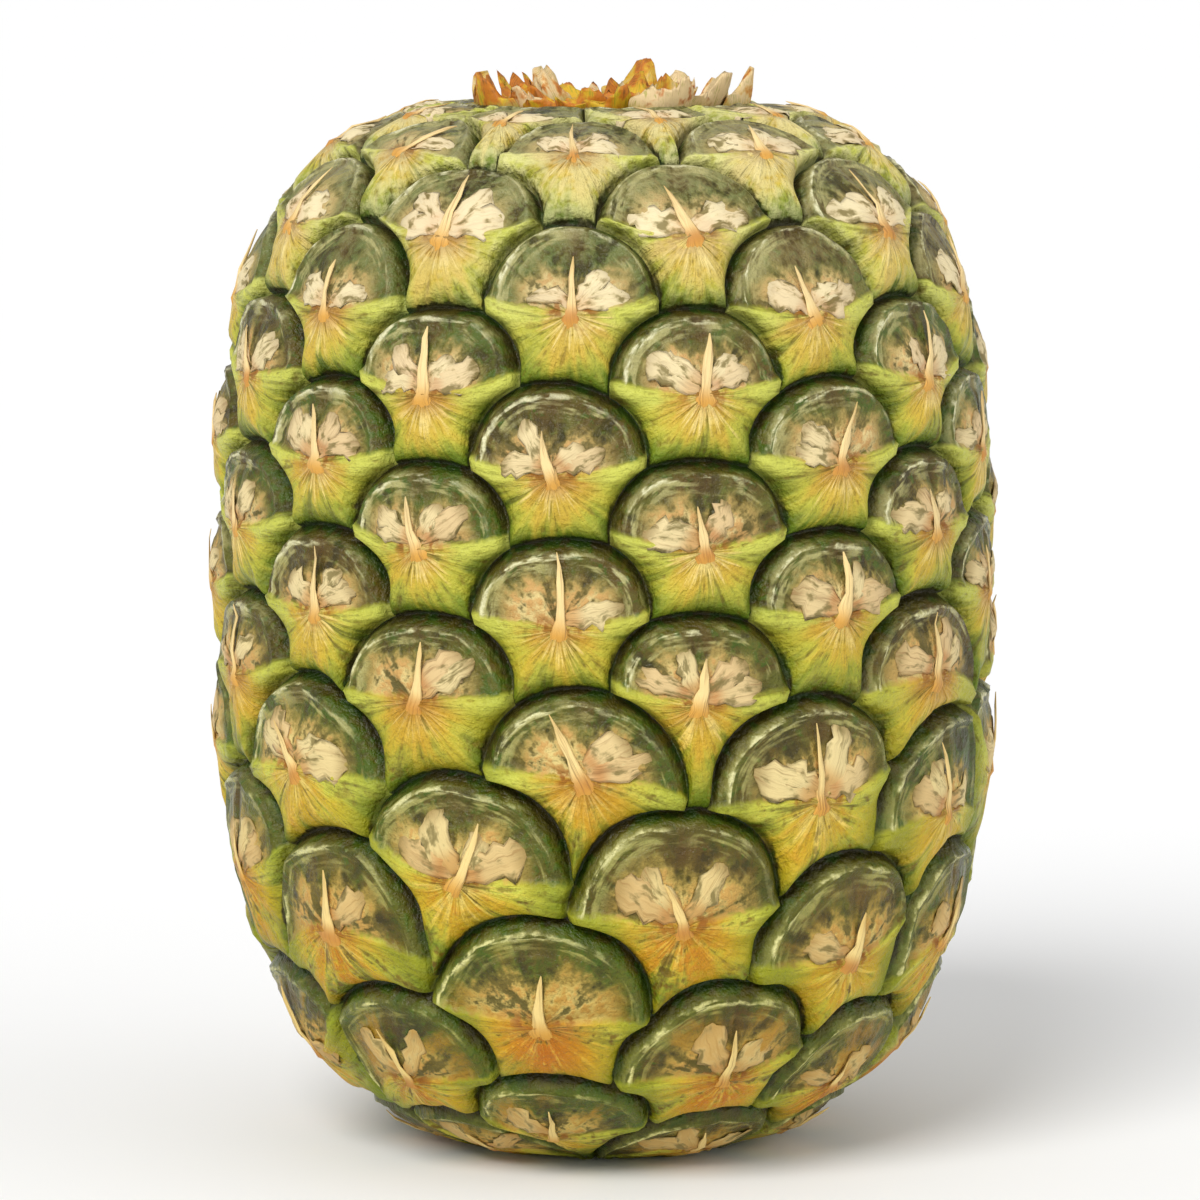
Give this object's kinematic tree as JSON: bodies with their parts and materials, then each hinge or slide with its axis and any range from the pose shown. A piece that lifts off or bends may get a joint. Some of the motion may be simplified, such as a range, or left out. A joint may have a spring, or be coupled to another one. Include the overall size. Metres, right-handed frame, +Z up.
{
  "type": "pineapple",
  "caption": "Whole ripe pineapple without its crown, standing upright, its rind covered in raised eyes with dry pointed bract tips and torn leaf stubs on top.",
  "frame": {"origin": "middle of the flat spot that the fruit stands on", "axes": "+Z up the fruit from its trimmed stalk end to the scar of its crown; -Y is the front, with the fullest row of large lower eyes"},
  "size_m": [0.1199, 0.1196, 0.1632],
  "materials": {
    "rind": "waxy rind, green and gold eyes with dark grooves between them"
  },
  "bodies": {
    "root": {"fruit": "rind"}
  },
  "joints": []
}
